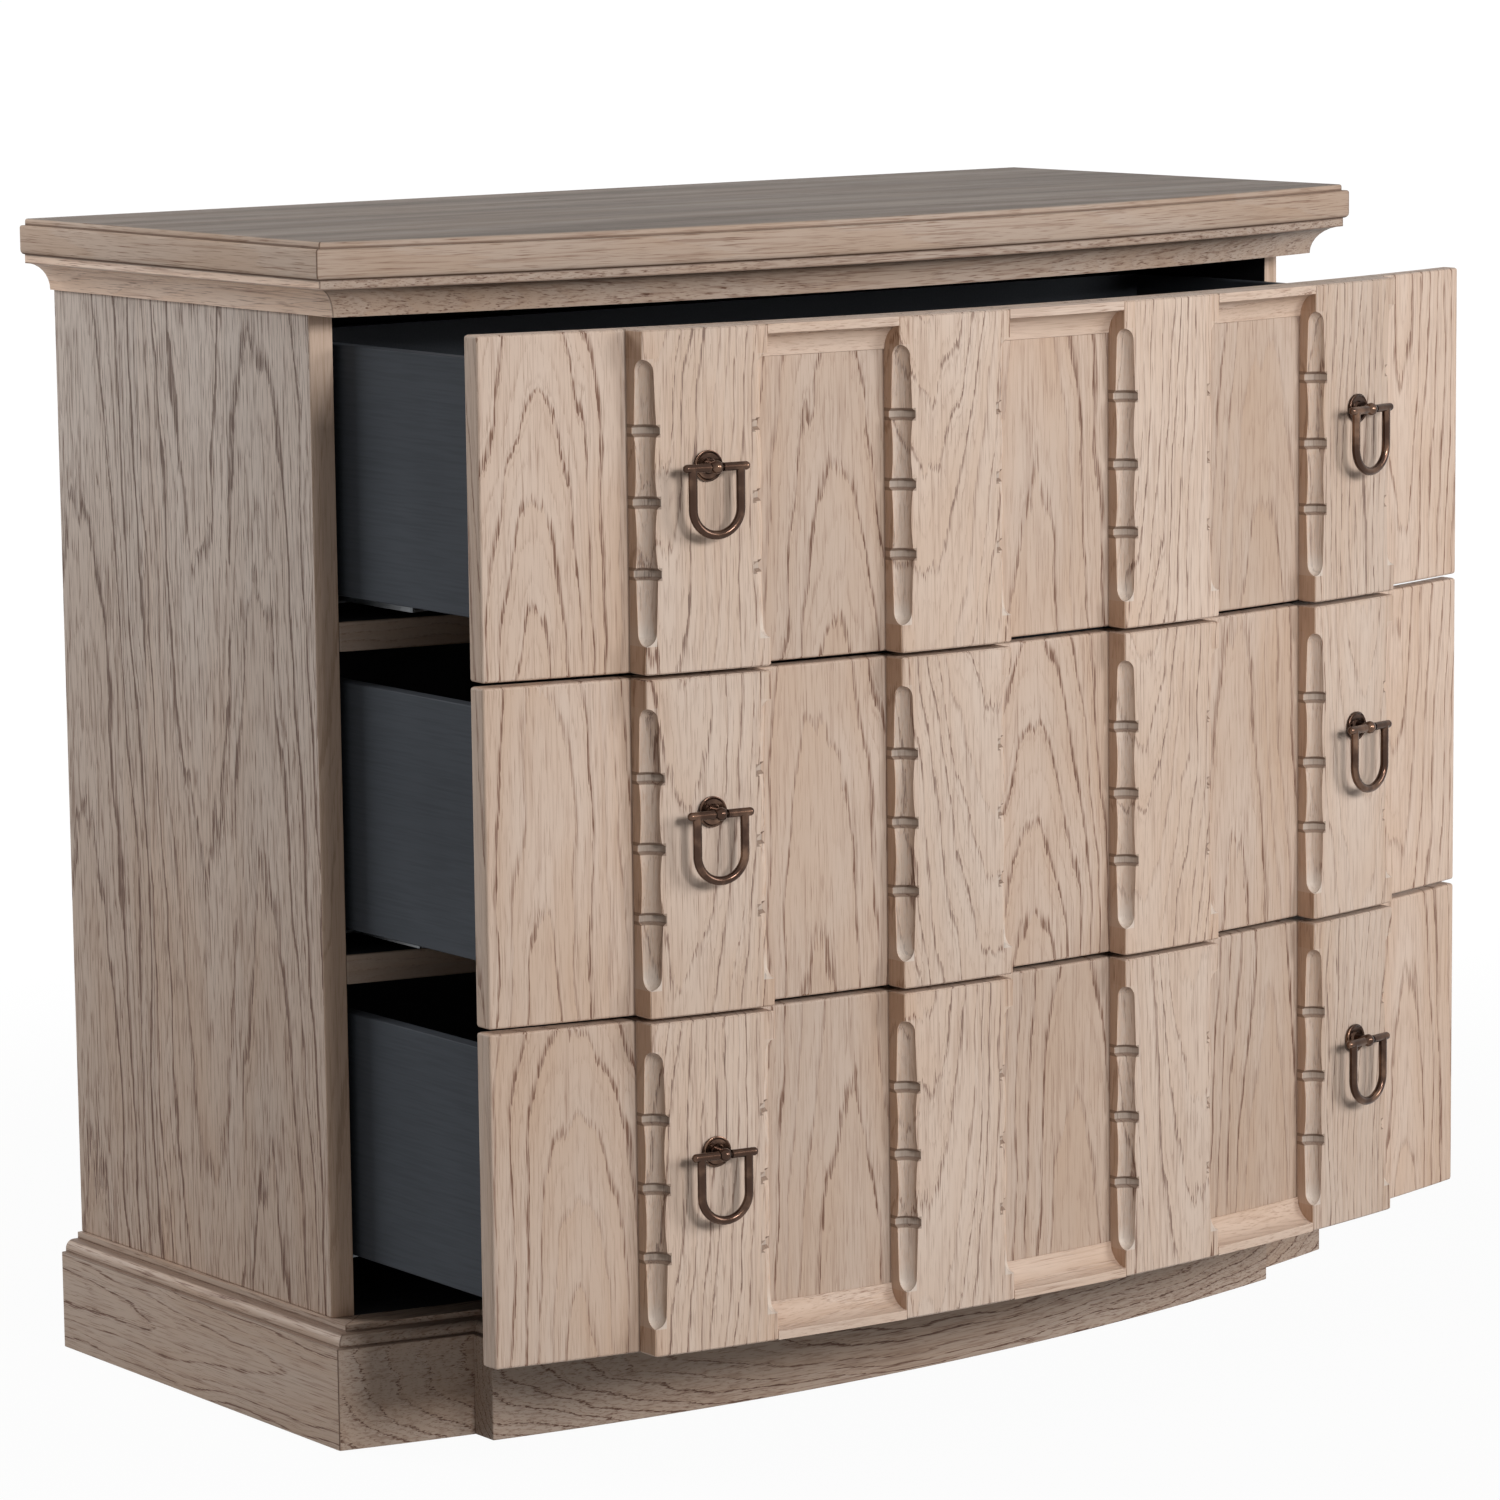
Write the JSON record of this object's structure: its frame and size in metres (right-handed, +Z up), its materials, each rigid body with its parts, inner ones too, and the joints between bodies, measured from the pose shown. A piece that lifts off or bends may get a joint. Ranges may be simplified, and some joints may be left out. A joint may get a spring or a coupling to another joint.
{
  "type": "block front chest",
  "caption": "Bow-front block front chest in weathered oak: drawers on full-extension runners with bail pulls, fluted raised blocks, cove cornice and breakfront plinth.",
  "frame": {"origin": "centre of the whole object's box on the floor, with the drawers pulled out as pictured", "axes": "+X to the chest's left-hand end as seen from behind (right as seen from the front), +Y to the back, +Z up"},
  "size_m": [1.025, 0.671, 0.914],
  "materials": {
    "weathered_oak": "limed oak veneer, matt",
    "drawer_paint": "charcoal painted drawer box",
    "plain_board": "plain unfinished board",
    "antique_bronze": "dark antique bronze",
    "zinc_steel": "zinc plated"
  },
  "bodies": {
    "case": {"back_panel": "plain_board", "base_moulding_front": "weathered_oak", "base_moulding_left": "weathered_oak", "base_moulding_right": "weathered_oak", "bottom_deck": "plain_board", "case_runners": "zinc_steel", "cornice_front": "weathered_oak", "cornice_left": "weathered_oak", "cornice_right": "weathered_oak", "divider_middle": "weathered_oak", "divider_upper": "weathered_oak", "glue_blocks": "plain_board", "plinth_back": "plain_board", "plinth_breakfront": "weathered_oak", "plinth_front": "weathered_oak", "plinth_left": "weathered_oak", "plinth_right": "weathered_oak", "side_panel_left": "weathered_oak", "side_panel_right": "weathered_oak", "top_back_rail": "plain_board", "top_front_rail": "weathered_oak", "top_panel": "weathered_oak"},
    "lower_drawer": {"lower_front": "weathered_oak", "lower_blocks": "weathered_oak", "lower_hollow_rails": "weathered_oak", "lower_side_left": "drawer_paint", "lower_side_right": "drawer_paint", "lower_bottom": "drawer_paint", "lower_back": "drawer_paint", "lower_rosettes": "antique_bronze", "lower_posts": "antique_bronze", "lower_runners": "zinc_steel"},
    "lower_mid_slides": {"lower_mid_runners": "zinc_steel"},
    "lower_left_bail": {"lower_bail_left": "antique_bronze"},
    "lower_right_bail": {"lower_bail_right": "antique_bronze"},
    "middle_drawer": {"middle_front": "weathered_oak", "middle_blocks": "weathered_oak", "middle_side_left": "drawer_paint", "middle_side_right": "drawer_paint", "middle_bottom": "drawer_paint", "middle_back": "drawer_paint", "middle_rosettes": "antique_bronze", "middle_posts": "antique_bronze", "middle_runners": "zinc_steel"},
    "middle_mid_slides": {"middle_mid_runners": "zinc_steel"},
    "middle_left_bail": {"middle_bail_left": "antique_bronze"},
    "middle_right_bail": {"middle_bail_right": "antique_bronze"},
    "upper_drawer": {"upper_front": "weathered_oak", "upper_blocks": "weathered_oak", "upper_hollow_rails": "weathered_oak", "upper_side_left": "drawer_paint", "upper_side_right": "drawer_paint", "upper_bottom": "drawer_paint", "upper_back": "drawer_paint", "upper_rosettes": "antique_bronze", "upper_posts": "antique_bronze", "upper_runners": "zinc_steel"},
    "upper_mid_slides": {"upper_mid_runners": "zinc_steel"},
    "upper_left_bail": {"upper_bail_left": "antique_bronze"},
    "upper_right_bail": {"upper_bail_right": "antique_bronze"}
  },
  "joints": [
    {"name": "lower_drawer_slide", "type": "slide", "parent": "case", "child": "lower_drawer", "axis": [0, -1, 0], "range_m": [-0.2, 0.13]},
    {"name": "lower_mid_slide", "type": "slide", "parent": "case", "child": "lower_mid_slides", "axis": [0, -1, 0], "range_m": [-0.1, 0.065]},
    {"name": "lower_left_bail_swing", "type": "hinge", "parent": "lower_drawer", "child": "lower_left_bail", "pos_m": [-0.32243, -0.32249, 0.2465], "axis": [-0.9861, 0.1664, 0], "range_deg": [-11, 190]},
    {"name": "lower_right_bail_swing", "type": "hinge", "parent": "lower_drawer", "child": "lower_right_bail", "pos_m": [0.32243, -0.32249, 0.2465], "axis": [-0.9861, -0.1664, 0], "range_deg": [-11, 190]},
    {"name": "middle_drawer_slide", "type": "slide", "parent": "case", "child": "middle_drawer", "axis": [0, -1, 0], "range_m": [-0.2, 0.13]},
    {"name": "middle_mid_slide", "type": "slide", "parent": "case", "child": "middle_mid_slides", "axis": [0, -1, 0], "range_m": [-0.1, 0.065]},
    {"name": "middle_left_bail_swing", "type": "hinge", "parent": "middle_drawer", "child": "middle_left_bail", "pos_m": [-0.32243, -0.32249, 0.5], "axis": [-0.9861, 0.1664, 0], "range_deg": [-11, 190]},
    {"name": "middle_right_bail_swing", "type": "hinge", "parent": "middle_drawer", "child": "middle_right_bail", "pos_m": [0.32243, -0.32249, 0.5], "axis": [-0.9861, -0.1664, 0], "range_deg": [-11, 190]},
    {"name": "upper_drawer_slide", "type": "slide", "parent": "case", "child": "upper_drawer", "axis": [0, -1, 0], "range_m": [-0.2, 0.13]},
    {"name": "upper_mid_slide", "type": "slide", "parent": "case", "child": "upper_mid_slides", "axis": [0, -1, 0], "range_m": [-0.1, 0.065]},
    {"name": "upper_left_bail_swing", "type": "hinge", "parent": "upper_drawer", "child": "upper_left_bail", "pos_m": [-0.32243, -0.32249, 0.7535], "axis": [-0.9861, 0.1664, 0], "range_deg": [-11, 190]},
    {"name": "upper_right_bail_swing", "type": "hinge", "parent": "upper_drawer", "child": "upper_right_bail", "pos_m": [0.32243, -0.32249, 0.7535], "axis": [-0.9861, -0.1664, 0], "range_deg": [-11, 190]}
  ],
  "couplings": [
    {"joint": "lower_mid_slide", "follows": "lower_drawer_slide", "ratio": 0.5},
    {"joint": "middle_mid_slide", "follows": "middle_drawer_slide", "ratio": 0.5},
    {"joint": "upper_mid_slide", "follows": "upper_drawer_slide", "ratio": 0.5}
  ]
}
